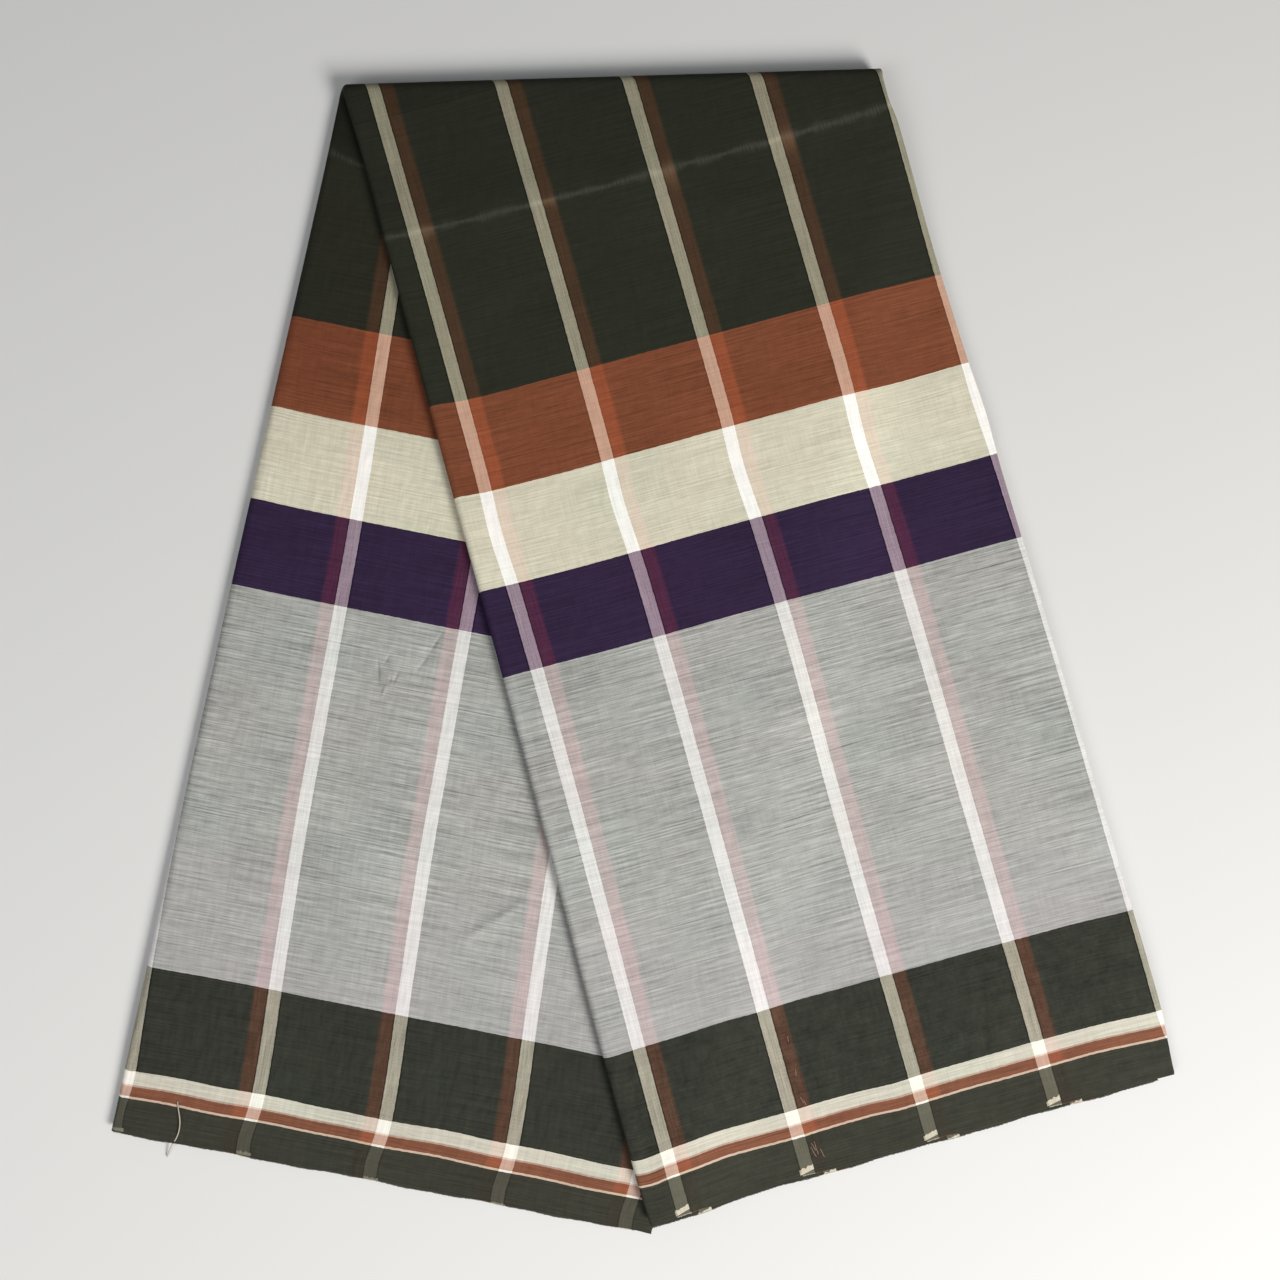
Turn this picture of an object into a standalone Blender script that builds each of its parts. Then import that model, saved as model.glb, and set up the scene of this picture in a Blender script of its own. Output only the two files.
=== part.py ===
"""A plaid longyi sarong, folded and lying flat.

The garment is one wide tube of cloth. It is folded lengthwise into a strip of eight plies, and the strip
is bent over once along a slanting fold at the top, so that the right wing lies over the left one in a V.
Three solids stand for it: the ply that shows on the right wing, the ply that shows on the left wing, and
the hidden layers between them. Lengths are in millimetres until a mesh is made.
"""

import math

import bpy

MM = 0.001

# Driving dimensions.
STACK = 6.0  # height of the eight plies, with the air between them
PLY_WALL = 1.0  # wall of a ply that shows
SEAM = 0.3  # gap between neighbouring solids
FOLD_CORE = 0.6  # radius left open inside the fold at the top
FOLD_SETTLE = 45.0  # way down the right wing over which the fold's puff settles
MIDDLE_SAG = 0.7  # how much lower the plies lie between the two long edges
END_FLAT = 1.8  # how much flatter the plies lie at the selvages, where nothing is folded
END_FLAT_FROM = 0.86  # share of a wing's length where that starts
FOOT_HOLLOW = 2.4  # how far the right wing's selvage curves up between its corners
FOOT_HOLLOW_FROM = 0.8  # share of the wing's length where that starts
STEP_START = 6.0  # way past the left wing's edge where the right wing starts to come down
STEP_LENGTH = 44.0  # way over which it comes down to the surface

# Mesh density.
COLUMNS = 22  # across the strip, and along the right wing, so that the diagonals follow the step
LEFT_ROWS = 9
FOLD_ROWS = 7
ROLL_COLUMNS = 4

# Long edges of the two wings in plan, each from the fold's centre line to its selvage. Bow is the edge's
# bulge to the right at mid length. The tucks are how far the edge bends aside at the fold and at the
# selvage, and over what length.
EDGE_COLUMNS = ("start_x", "start_y", "end_x", "end_y", "bow", "head_tuck", "foot_tuck", "tuck_length")
EDGES = {
    "right_wing_left": (-154.6, 283.3, 4.8, -296.7, 0.8, -3.3, 0.0, 34.0),
    "right_wing_right": (128.0, 292.2, 274.5, -223.2, 0.6, 0.0, -7.0, 34.0),
    "left_wing_left": (-157.8, 282.4, -267.4, -248.4, -1.2, 0.0, 0.0, 34.0),
    "left_wing_right": (128.0, 292.2, 5.2, -299.1, 0.0, 0.0, 0.0, 34.0),
}

# Profile of the hidden layers' rim, from the top down: three rounded lobes with a groove between them.
# Share is the height within the layers. The insets are from the strip's right edge and from each wing's
# selvage end.
RIM_COLUMNS = ("share", "edge_in", "right_end_in", "left_end_in")
RIM = (
    (1.00, 1.6, 3.6, 1.9),
    (0.93, 1.1, 3.1, 1.4),
    (0.74, 1.1, 3.1, 1.4),
    (0.67, 2.4, 4.6, 3.0),
    (0.60, 0.3, 0.3, 2.2),
    (0.40, 0.3, 0.3, 2.2),
    (0.33, 2.4, 3.4, 3.4),
    (0.26, 1.5, 1.6, 0.6),
    (0.07, 1.5, 1.6, 0.6),
    (0.00, 2.0, 2.1, 1.1),
)

# How far short of the strip's own edges each visible ply ends.
PLY_END_COLUMNS = ("edge_in", "right_end_in", "left_end_in")
PLY_ENDS = {
    "outer": (0.6, 3.8, 1.2),
    "inner": (1.2, 1.4, 0.2),
}


def named(columns, row):
    """Gives a table row's values by column name."""
    return dict(zip(columns, row))


def smooth(x):
    """Eases from 0 to 1."""
    x = min(1.0, max(0.0, x))
    return x * x * (3.0 - 2.0 * x)


def edge_point(name, t):
    """A point on a wing's long edge in plan, from the fold (0) to the selvage (1)."""
    edge = named(EDGE_COLUMNS, EDGES[name])
    run_x = edge["end_x"] - edge["start_x"]
    run_y = edge["end_y"] - edge["start_y"]
    length = math.hypot(run_x, run_y)
    head = smooth(1.0 - t * length / edge["tuck_length"]) * edge["head_tuck"]
    foot = smooth(1.0 - (1.0 - t) * length / edge["tuck_length"]) * edge["foot_tuck"]
    aside = edge["bow"] * 4.0 * t * (1.0 - t) + head + foot
    return (
        edge["start_x"] + run_x * t - run_y / length * aside,
        edge["start_y"] + run_y * t + run_x / length * aside,
    )


def cross_line(wing, t):
    """The strip's left edge point, its unit direction across and its width at t."""
    left = edge_point(wing + "_left", t)
    right = edge_point(wing + "_right", t)
    width = math.dist(left, right)
    return left, ((right[0] - left[0]) / width, (right[1] - left[1]) / width), width


def past_left_wing(x, y):
    """How far a point in plan lies past the left wing's right edge, which the right wing covers."""
    edge = named(EDGE_COLUMNS, EDGES["left_wing_right"])
    run_x = edge["end_x"] - edge["start_x"]
    run_y = edge["end_y"] - edge["start_y"]
    return ((y - edge["start_y"]) * run_x - (x - edge["start_x"]) * run_y) / math.hypot(run_x, run_y)


def base_height(wing, x, y, t):
    """Height of the strip's underside: the right wing lies on the left one, then comes down to the surface."""
    if wing == "left_wing":
        return 0.0
    puff = (2.0 * FOLD_CORE - SEAM) * (1.0 - smooth(t * wing_length() / FOLD_SETTLE))
    lying = 1.0 - smooth((past_left_wing(x, y) - STEP_START) / STEP_LENGTH)
    return (STACK + SEAM + puff) * lying


def wing_length():
    """Length of the right wing along its left edge."""
    edge = named(EDGE_COLUMNS, EDGES["right_wing_left"])
    return math.dist((edge["start_x"], edge["start_y"]), (edge["end_x"], edge["end_y"]))


def stack_height(across, t):
    """Height of all the plies, lower between the edges and at the selvages."""
    sag = MIDDLE_SAG * math.sin(math.pi * across) * smooth(t * 4.0)
    flat = END_FLAT * smooth((t - END_FLAT_FROM) / (1.0 - END_FLAT_FROM))
    return STACK - sag - flat


class Station:
    """One cross-section of the strip: on a wing at t, or on the bend at an angle from the right wing."""

    def __init__(self, wing=None, t=0.0, angle=None):
        self.wing = wing
        self.t = t
        self.angle = angle

    def inset(self, distance):
        """The same section, moved in from the selvage by a distance."""
        if self.angle is not None or self.t < 1.0:
            return self
        left, _, _ = cross_line(self.wing, 0.0)
        return Station(self.wing, 1.0 - distance / math.dist(left, edge_point(self.wing + "_left", 1.0)))

    def width(self):
        return cross_line(self.wing or "right_wing", self.t)[2]

    def height(self, across):
        return stack_height(across, self.t)

    def place(self, a, h):
        """The point at distance a from the strip's left edge and h above its inner side."""
        if self.angle is not None:
            left, along, _ = cross_line("right_wing", 0.0)
            radius = FOLD_CORE + h
            out = radius * math.sin(self.angle)
            return (
                left[0] + along[0] * a - along[1] * out,
                left[1] + along[1] * a + along[0] * out,
                STACK + FOLD_CORE + radius * math.cos(self.angle),
            )
        left, along, width = cross_line(self.wing, self.t)
        x = left[0] + along[0] * a
        y = left[1] + along[1] * a
        if self.wing == "left_wing":
            return x, y, self.height(a / width) - h
        hollow = smooth((self.t - FOOT_HOLLOW_FROM) / (1.0 - FOOT_HOLLOW_FROM)) * FOOT_HOLLOW
        x -= along[1] * hollow * math.sin(math.pi * a / width)
        y += along[0] * hollow * math.sin(math.pi * a / width)
        return x, y, base_height(self.wing, x, y, self.t) + h


def stations():
    """Sections from the right wing's selvage, over the fold, to the left wing's selvage."""
    down = [Station("right_wing", 1.0 - j / COLUMNS) for j in range(COLUMNS + 1)]
    bend = [Station(angle=math.pi * j / FOLD_ROWS) for j in range(1, FOLD_ROWS)]
    back = [Station("left_wing", j / LEFT_ROWS) for j in range(LEFT_ROWS + 1)]
    return down + bend + back


def ply_point(station, side, depth_in, column, edge_in):
    """A point of a visible ply, depth_in below its outer face. Columns below 0 go round the left roll."""
    width = station.width()
    radius = station.height(0.0) / 2.0
    if column < 0:
        angle = math.pi / 2.0 * -column / ROLL_COLUMNS
        reach = radius - depth_in
        a = radius - reach * math.sin(angle)
        depth = radius - max(reach * math.cos(angle), SEAM / 2.0)
        height = 2.0 * radius
    else:
        a = radius + (width - radius - edge_in) * column / COLUMNS
        depth = depth_in
        height = station.height(a / width)
    return station.place(a, height - depth if side == "outer" else depth)


def closed_mesh(name, upper, lower, rims, material):
    """Makes one closed solid from two grids of points and the loops between their borders."""
    rows = len(upper)
    across = len(upper[0])
    points = []
    index = {}

    def add(key, point):
        index[key] = len(points)
        points.append(tuple(value * MM for value in point))

    for label, grid in (("upper", upper), ("lower", lower)):
        for j in range(rows):
            for i in range(across):
                add((label, i, j), grid[j][i])
    border = [(i, 0) for i in range(across)]
    border += [(across - 1, j) for j in range(1, rows)]
    border += [(i, rows - 1) for i in range(across - 2, -1, -1)]
    border += [(0, j) for j in range(rows - 2, 0, -1)]
    loops = [[("upper", i, j) for i, j in border]]
    for k, rim in enumerate(rims):
        for i, j in border:
            add((k, i, j), rim(i, j))
        loops.append([(k, i, j) for i, j in border])
    loops.append([("lower", i, j) for i, j in border])

    faces = []
    for j in range(rows - 1):
        for i in range(across - 1):
            for label in ("upper", "lower"):
                corners = [(label, i, j), (label, i + 1, j), (label, i + 1, j + 1), (label, i, j + 1)]
                a, b, c, d = (index[key] for key in corners)
                pair = [(a, b, c), (a, c, d)]
                faces += pair if label == "upper" else [tuple(reversed(face)) for face in pair]
    for high, low in zip(loops, loops[1:]):
        for k, key in enumerate(high):
            follow = (k + 1) % len(high)
            a, b = index[key], index[high[follow]]
            c, d = index[low[follow]], index[low[k]]
            faces += [(b, a, d), (b, d, c)]

    mesh = bpy.data.meshes.new(name)
    mesh.from_pydata(points, [], faces)
    mesh.update()
    mesh.materials.append(material)
    part = bpy.data.objects.new(name, mesh)
    bpy.context.scene.collection.objects.link(part)
    mesh.shade_smooth()
    mesh.set_sharp_from_angle(angle=math.radians(40.0))
    return part


def ply(name, side, material):
    """A visible ply: a wall that rolls over the strip's left edge and follows it over the fold."""
    insets = named(PLY_END_COLUMNS, PLY_ENDS[side])
    line = stations()
    line[0] = line[0].inset(insets["right_end_in"])
    line[-1] = line[-1].inset(insets["left_end_in"])
    columns = range(-ROLL_COLUMNS, COLUMNS + 1)
    faces = [
        [[ply_point(station, side, depth, column, insets["edge_in"]) for column in columns] for station in line]
        for depth in (0.0, PLY_WALL)
    ]
    if side == "inner":
        faces.reverse()
    return closed_mesh(name, faces[0], faces[1], [], material)


def hidden_layers(name, material):
    """The plies between the two that show: one solid, rounded at the left and layered at its rim."""
    line = stations()
    margin = PLY_WALL + SEAM
    last = len(line) - 1

    def layer_point(i, j, row):
        station = line[j]
        if j == 0:
            station = station.inset(row["right_end_in"])
        elif j == last:
            station = station.inset(row["left_end_in"])
        width = station.width()
        roll = station.height(0.0) / 2.0
        reach = roll - margin
        off_centre = (2.0 * row["share"] - 1.0) * reach
        start = roll - math.sqrt(max(0.0, reach * reach - off_centre * off_centre))
        a = start + (width - row["edge_in"] - start) * i / COLUMNS
        height = station.height(a / width)
        return station.place(a, margin + row["share"] * (height - 2.0 * margin))

    rows = [named(RIM_COLUMNS, row) for row in RIM]
    upper, lower = (
        [[layer_point(i, j, row) for i in range(COLUMNS + 1)] for j in range(last + 1)]
        for row in (rows[0], rows[-1])
    )
    rims = [lambda i, j, row=row: layer_point(i, j, row) for row in rows[1:-1]]
    return closed_mesh(name, upper, lower, rims, material)


def cloth_material(name, color):
    """A matt cloth finish."""
    material = bpy.data.materials.new(name)
    material.use_nodes = True
    shader = material.node_tree.nodes["Principled BSDF"]
    shader.inputs["Base Color"].default_value = (*color, 1.0)
    shader.inputs["Roughness"].default_value = 0.85
    shader.inputs["Metallic"].default_value = 0.0
    return material


for old in list(bpy.data.objects):
    bpy.data.objects.remove(old, do_unlink=True)

ply("right_wing_ply", "outer", cloth_material("olive_cloth", (0.03, 0.032, 0.024)))
ply("left_wing_ply", "inner", cloth_material("grey_cloth", (0.36, 0.38, 0.37)))
hidden_layers("hidden_layers", cloth_material("rust_cloth", (0.2, 0.06, 0.03)))
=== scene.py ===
"""Looks of a plaid cotton longyi sarong that lies flat.

The garment is one wide tube of fine plain weave. It is folded lengthwise into a strip of eight plies, and
the strip is bent over once at the top, so that its right wing lies over its left one in a V. The sections
go from the floor it lies on to its loose threads. The garment's lengths are in millimetres until a mesh is
made, and those of the floor, the lamps and the camera in metres.
"""

import math

import bpy
import numpy as np
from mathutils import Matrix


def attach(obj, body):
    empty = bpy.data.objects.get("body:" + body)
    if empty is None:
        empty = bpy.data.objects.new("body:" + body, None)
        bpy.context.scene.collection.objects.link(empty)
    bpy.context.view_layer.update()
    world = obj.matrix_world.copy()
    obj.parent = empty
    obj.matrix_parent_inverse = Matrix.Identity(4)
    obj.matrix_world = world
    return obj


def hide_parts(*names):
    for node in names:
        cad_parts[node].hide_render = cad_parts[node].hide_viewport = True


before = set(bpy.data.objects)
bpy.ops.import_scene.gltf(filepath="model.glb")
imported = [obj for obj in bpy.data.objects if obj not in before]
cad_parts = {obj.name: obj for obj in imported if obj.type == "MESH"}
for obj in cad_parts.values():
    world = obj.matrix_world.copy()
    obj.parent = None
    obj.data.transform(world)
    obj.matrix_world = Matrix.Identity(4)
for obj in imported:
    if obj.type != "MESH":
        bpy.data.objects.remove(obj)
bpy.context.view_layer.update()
MM = 0.001

# --- Floor, light and camera ---------------------------------------------------------------------------
# A plain pale floor under a soft lamp beyond the right foot, a weaker one on the left and a dim sky. The
# camera looks down on the cloth, tipped a little towards the fold.
CAMERA_AT = (-0.00125, -0.0378, 0.6599)
CAMERA_TIP = 3.2  # degrees
CAMERA_LENS = 36.0  # on a film back of the same width
CAMERA_CLIP = 0.01
FLOOR_SIDE = 8.0
FLOOR_DROP = 0.0003
FLOOR_COLOR = (0.74, 0.735, 0.72, 1.0)
FLOOR_ROUGHNESS = 0.9
SKY_COLOR = (0.93, 0.96, 1.0, 1.0)
SKY_STRENGTH = 0.16
LAMP_COLUMNS = ("name", "at", "side", "power", "color")
LAMPS = (
    ("window_lamp", (1.15, -1.25, 1.25), 0.8, 50.0, (1.0, 0.985, 0.96)),
    ("side_lamp", (-1.1, -0.9, 1.5), 1.2, 12.0, (0.97, 0.985, 1.0)),
)


def named(columns, row):
    """Gives a table row's values by column name."""
    return dict(zip(columns, row))


def turned_to_origin(place):
    """The rotation that points a lamp at the origin."""
    flat = math.hypot(place[0], place[1])
    return math.atan2(flat, place[2]), 0.0, math.atan2(place[1], place[0]) + math.pi / 2.0


class Value:
    """A socket in a node tree. Arithmetic on it adds Math nodes."""

    def __init__(self, wiring, socket):
        self.wiring = wiring
        self.socket = socket

    def __add__(self, other):
        return self.wiring.math("ADD", self, other)

    def __sub__(self, other):
        return self.wiring.math("SUBTRACT", self, other)

    def __rsub__(self, other):
        return self.wiring.math("SUBTRACT", other, self)

    def __mul__(self, other):
        return self.wiring.math("MULTIPLY", self, other)

    def __truediv__(self, other):
        return self.wiring.math("DIVIDE", self, other)

    def __lt__(self, other):
        return self.wiring.math("LESS_THAN", self, other)

    def __gt__(self, other):
        return self.wiring.math("GREATER_THAN", self, other)

    def __abs__(self):
        return self.wiring.math("ABSOLUTE", self)

    __radd__ = __add__
    __rmul__ = __mul__


class Wiring:
    """A node tree while it is made."""

    def __init__(self, tree):
        self.tree = tree
        self.tree.nodes.clear()

    def node(self, kind, settings=None, sockets=None, output=0):
        """Adds a node: first its settings or its ramp's stops, then its sockets' values and links."""
        node = self.tree.nodes.new(kind)
        for name, value in (settings or {}).items():
            if name == "stops":
                for place, color in value[1:]:
                    node.color_ramp.elements.new(place)
                while len(node.color_ramp.elements) > len(value):
                    node.color_ramp.elements.remove(node.color_ramp.elements[-1])
                for element, (place, color) in zip(node.color_ramp.elements, value):
                    element.position = place
                    element.color = color
                node.color_ramp.interpolation = "CONSTANT"
            else:
                setattr(node, name, value)
        for name, value in (sockets or {}).items():
            if isinstance(value, Value):
                self.tree.links.new(value.socket, node.inputs[name])
            else:
                node.inputs[name].default_value = value
        return Value(self, node.outputs[output]) if node.outputs else None

    def math(self, operation, *values):
        """Adds a Math node."""
        return self.node("ShaderNodeMath", {"operation": operation}, dict(enumerate(values)))

    def mixed(self, share, first, second, how="MIX"):
        """Adds a Mix node for two colours."""
        settings = {"data_type": "RGBA", "blend_type": how}
        return self.node("ShaderNodeMix", settings, {0: share, 6: first, 7: second}, 2)

    def shaded(self, color, shade):
        """Multiplies a colour by a number."""
        grey = self.node("ShaderNodeCombineColor", None, {0: shade, 1: shade, 2: shade})
        return self.mixed(1.0, color, grey, "MULTIPLY")


class Finish(Wiring):
    """A material while it is made."""

    def __init__(self, name):
        self.material = bpy.data.materials.new(name)
        self.material.use_nodes = True
        super().__init__(self.material.node_tree)

    def finished(self, **sockets):
        """Adds the shader that the material shows, and gives the material."""
        names = {}
        for name, value in sockets.items():
            names[name.replace("_", " ").title().replace("Ior", "IOR")] = value
        shader = self.node("ShaderNodeBsdfPrincipled", None, names)
        self.node("ShaderNodeOutputMaterial", None, {"Surface": shader})
        return self.material


scene = bpy.context.scene
scene.view_settings.view_transform = "Standard"

camera_data = bpy.data.cameras.new("camera")
camera_data.lens = CAMERA_LENS
camera_data.sensor_width = CAMERA_LENS
camera_data.clip_start = CAMERA_CLIP
camera = bpy.data.objects.new("camera", camera_data)
camera.location = CAMERA_AT
camera.rotation_euler = (math.radians(CAMERA_TIP), 0.0, 0.0)
scene.collection.objects.link(camera)
scene.camera = camera

for row in LAMPS:
    lamp = named(LAMP_COLUMNS, row)
    light = bpy.data.lights.new(lamp["name"], "AREA")
    light.size = lamp["side"]
    light.energy = lamp["power"]
    light.color = lamp["color"]
    holder = bpy.data.objects.new(lamp["name"], light)
    holder.location = lamp["at"]
    holder.rotation_euler = turned_to_origin(lamp["at"])
    scene.collection.objects.link(holder)

sky = bpy.data.worlds.new("sky")
sky.use_nodes = True
sky.node_tree.nodes["Background"].inputs["Color"].default_value = SKY_COLOR
sky.node_tree.nodes["Background"].inputs["Strength"].default_value = SKY_STRENGTH
scene.world = sky

floor_corners = [(x, y, -FLOOR_DROP) for x, y in ((-1, -1), (1, -1), (1, 1), (-1, 1))]
floor_mesh = bpy.data.meshes.new("floor")
floor_mesh.from_pydata(
    [(x * FLOOR_SIDE / 2.0, y * FLOOR_SIDE / 2.0, z) for x, y, z in floor_corners], [], [(0, 1, 2, 3)]
)
floor_mesh.materials.append(Finish("pale_floor").finished(base_color=FLOOR_COLOR, roughness=FLOOR_ROUGHNESS))
floor = bpy.data.objects.new("floor", floor_mesh)
scene.collection.objects.link(floor)

# --- The woven cloth -----------------------------------------------------------------------------------
# Fine plain-weave cotton. Bands of coloured warp run along both selvages, the same from each, and pairs
# of white and rust weft stripes cross them at an even pitch. The cotton is soft and has no finish on it.
LOOM_WIDTH = 1159.0  # from selvage to selvage
STRIPE_PITCH = 64.8
WHOLE_PITCHES = 20.0  # added before the fraction of a pitch is taken, so that it is never below zero
WEFT_STRIPES = (("white", 0.0), ("rust", 6.6), ("olive", 13.5))
RUST_FADE = 0.9  # half the width over which the rust weft thins out
WEAVE_PITCH = 0.45

# The bands of warp: where each starts from the selvage, how strong its slubs are, how dark a warp it is,
# and its colours, in the plain cloth and where the white and the rust weft cross it.
BAND_COLUMNS = ("name", "start", "slub", "dark", "plain", "under_white", "under_rust")
BANDS = (
    ("selvage", 0.0, 0.7, 0.5, (0.0387, 0.0396, 0.0287), (0.104, 0.101, 0.0728), (0.0396, 0.0359, 0.0252)),
    ("blush_line", 16.3, 0.3, 0.0, (0.56, 0.43, 0.33), (0.817, 0.796, 0.709), (0.554, 0.46, 0.331)),
    ("hem_rust", 17.4, 0.8, 0.0, (0.2, 0.0787, 0.0438), (0.535, 0.357, 0.276), (0.28, 0.0909, 0.0459)),
    ("hem_mixed", 22.6, 0.5, 0.0, (0.42, 0.31, 0.24), (0.714, 0.591, 0.494), (0.467, 0.311, 0.245)),
    ("hem_cream", 23.5, 0.45, 0.0, (0.565, 0.548, 0.454), (0.865, 0.865, 0.764), (0.638, 0.54, 0.446)),
    ("foot_olive", 30.3, 0.7, 1.0, (0.0311, 0.0341, 0.0254), (0.338, 0.32, 0.249), (0.0841, 0.0445, 0.0274)),
    ("grey", 82.9, 1.05, 0.1, (0.383, 0.392, 0.366), (0.738, 0.737, 0.7), (0.487, 0.417, 0.398)),
    ("purple", 280.6, 0.8, 1.0, (0.0306, 0.0168, 0.0486), (0.319, 0.242, 0.294), (0.0765, 0.021, 0.0516)),
    ("cream", 325.9, 0.46, 0.0, (0.667, 0.643, 0.497), (0.99, 0.99, 0.927), (0.742, 0.643, 0.508)),
    ("rust", 375.3, 0.75, 0.3, (0.204, 0.0658, 0.0309), (0.592, 0.363, 0.259), (0.31, 0.0845, 0.0364)),
    ("olive", 424.3, 0.52, 1.0, (0.0247, 0.027, 0.0175), (0.315, 0.299, 0.211), (0.0675, 0.0385, 0.0207)),
)

# Noise that is drawn out along the threads: its size across the stripes and along them, and its detail.
NOISE_COLUMNS = ("across", "along", "detail")
NOISES = {
    "band_wander": (38.0, 60.0, 0.0),
    "band_fray": (2.5, 30.0, 0.0),
    "stripe_fray": (30.0, 2.5, 0.0),
    "knots": (1.5, 6.0, 0.0),
    "long_slub": (62.0, 0.76, 1.0),
    "short_slub": (9.0, 0.8, 1.0),
    "pale_slub": (65.0, 0.55, 1.0),
    "weft_slub": (0.7, 26.0, 1.0),
    "grain": (0.7, 0.7, 1.0),
    "clouds": (34.0, 24.0, 0.0),
    "mottle": (9.0, 6.5, 2.0),
    "fine_mottle": (2.1, 1.7, 1.0),
    "press_wander": (14.0, 40.0, 0.0),
    "press_width": (9.0, 60.0, 0.0),
    "press_fray": (0.9, 9.0, 0.0),
    "blush": (60.0, 45.0, 0.0),
    "pucker": (5.2, 13.0, 1.0),
}
NOISE_SPREAD = 0.77  # of each, from its lowest to its highest
NOISE_ASIDE = (3.7, 5.3)  # times its sizes, which sets each one off from the others

HEM_REACH = 50.0  # from the selvage, within which the bands' edges wander more
HEM_WANDER = 1.6
BAND_WANDER = 0.5
FRAY = 0.35  # of the bands' and the stripes' edges

# How strongly the thick and thin threads show in the cloth's shade.
LONG_SLUBS = 1.3
SHORT_SLUBS = 0.7
PALE_SLUBS = 2.4
PALE_FROM = 0.17  # noise past which a slub stands out pale
GRAIN = 0.2
CLOUDS = 0.24
WHITE_SLUBS = 0.28  # share of a band's slubs that shows where the white weft crosses it
RUST_SLUBS = 0.37  # what the rust weft adds to that share, and then the olive weft
OLIVE_SLUBS = 0.35
FOOT_SLUBS_LOST = 0.32  # of the grey's slubs towards the foot
GREY_FOOT = (165.0, 90.0)  # from the selvage, between which the grey takes the look of the foot
PICKS = 0.2  # of the weft, in all the cloth
WHITE_PICKS = 0.12  # what the white weft adds, then the dark warp, and then a stripe on the dark warp
DARK_PICKS = 0.06
STRIPE_PICKS = 0.4
STRIPE_GRAIN = 0.5  # of a stripe on the dark warp

MOTTLE = 0.8  # of the foot, which was never pressed
FINE_MOTTLE = 0.5
FAR_MOTTLE_LOST = 0.55
HOLLOW_WIDTH = 0.75  # of the dark lines of painted shade in the hollows beside the white weft
HOLLOW_PAINTED_SHADE = 0.5
RUST_HOLLOW_MIDDLE = 0.3  # of that width, for the one that the rust weft half covers
RUST_HOLLOW_REACH = 0.5
SELVAGE_WHITE = (0.15, -0.27)  # how much paler the white weft is at the near selvage and at the far one

KNOT_COLOR = (0.50, 0.46, 0.36, 1.0)  # the thick white weft where it turns at the selvage
FAR_KNOT_COLOR = (0.26, 0.25, 0.19, 1.0)
KNOT_DEPTH = 2.5
KNOT_DEPTH_LOST = 1.0  # at the far selvage, where they are smaller
KNOT_RAGGED = 2.0
KNOT_SLANT = 0.2  # how much further in the turns lie along a white stripe
KNOT_SIDE = 0.8  # how far they reach past it
OVER_NEAR = 2.4  # cloth beyond the bands' zero at the near selvage and at the far one
OVER_FAR = 0.8

PRESS_FROM = 514.6  # from the selvage to the mark of the shop's fold, at the middle of the strip
PRESS_MIDDLE = 140.0
PRESS_BEND = 2.4  # how far the mark bends away towards the edges
PRESS_FAR_FROM = 516.8  # the same mark from the far selvage
PRESS_FAR_SLANT = 0.19
PRESS_FAR_LOST = 0.4  # share of the mark that is gone there
PRESS_FAR_RANGE = (-60.0, 0.0)  # across the stripes, past which it runs straight
PRESS_WANDER = 2.0
PRESS_WIDTH = 1.75
PRESS_WIDENS = 1.6
PRESS_FRAY = 1.8
# The mark is paler: partly cloth worn by the pressing, partly painted sheen on the crease.
PRESS_SHEEN_AND_WEAR = 0.3
PRESS_COLOR = (0.30, 0.31, 0.27, 1.0)
PRESS_SHEEN_SHARE = 0.07  # share of that colour on the mark, which is partly worn cloth and partly painted sheen
PRESS_ON_RUST = 0.85  # how much paler the rust weft is on the mark and just past it: partly wear, partly painted sheen
PRESS_RUST_SHIFT = 1.0  # in widths of the mark, as are the next two
PRESS_RUST_REACH = 2.6
PAST_MARK = (-4.0, 8.0)  # between which painted shade comes in past the mark, towards the fold
PAST_MARK_PAINTED_SHADE = 0.13  # painted shade: how much darker the cloth is past the mark, and on the left wing's face besides
FOLD_PAINTED_SHADE = 0.25
FAR_FROM = -15.8  # across the stripes, where the left wing's face lies past the right wing's

FOLD_PAINTED_DARK = (0.88, 0.85, 0.83, 1.0)  # painted shade on the far half towards the fold, where it lies in the dark
FOLD_PAINTED_DARK_RANGE = (362.0, 392.0)  # from the selvage, between which it comes in
BLUSH_TINT = (1.03, 0.993, 1.0, 1.0)  # the cloudy tint of the paler cloth
BLUSH_CONTRAST = 3.0
LAVENDER_TINT = (1.0, 0.978, 1.008, 1.0)  # of the grey towards the foot

COTTON_ROUGHNESS = 0.82
COTTON_ROUGHNESS_VARIES = 0.1
COTTON_GLOSS = 0.12
BUMP_DEPTH = 0.0001
COTTON_BUMP = 0.5
PUCKER = 0.9
FOOT_PUCKER = 0.9  # what the foot adds, from this far past the selvage
FOOT_FROM = 32.0
PUCKER_RELIEF = 14.0
WEAVE_RELIEF = 0.4
SLUB_RELIEF = 0.8
PICK_RELIEF = 0.6
CREASE_TAPER = 2.6  # of a fine crease's length
LEFT_WING_SHIFT = -58.2  # across the stripes, between the two wings' starts
RELIEF_UNITS = 20.0  # of the material's relief in a millimetre

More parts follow.
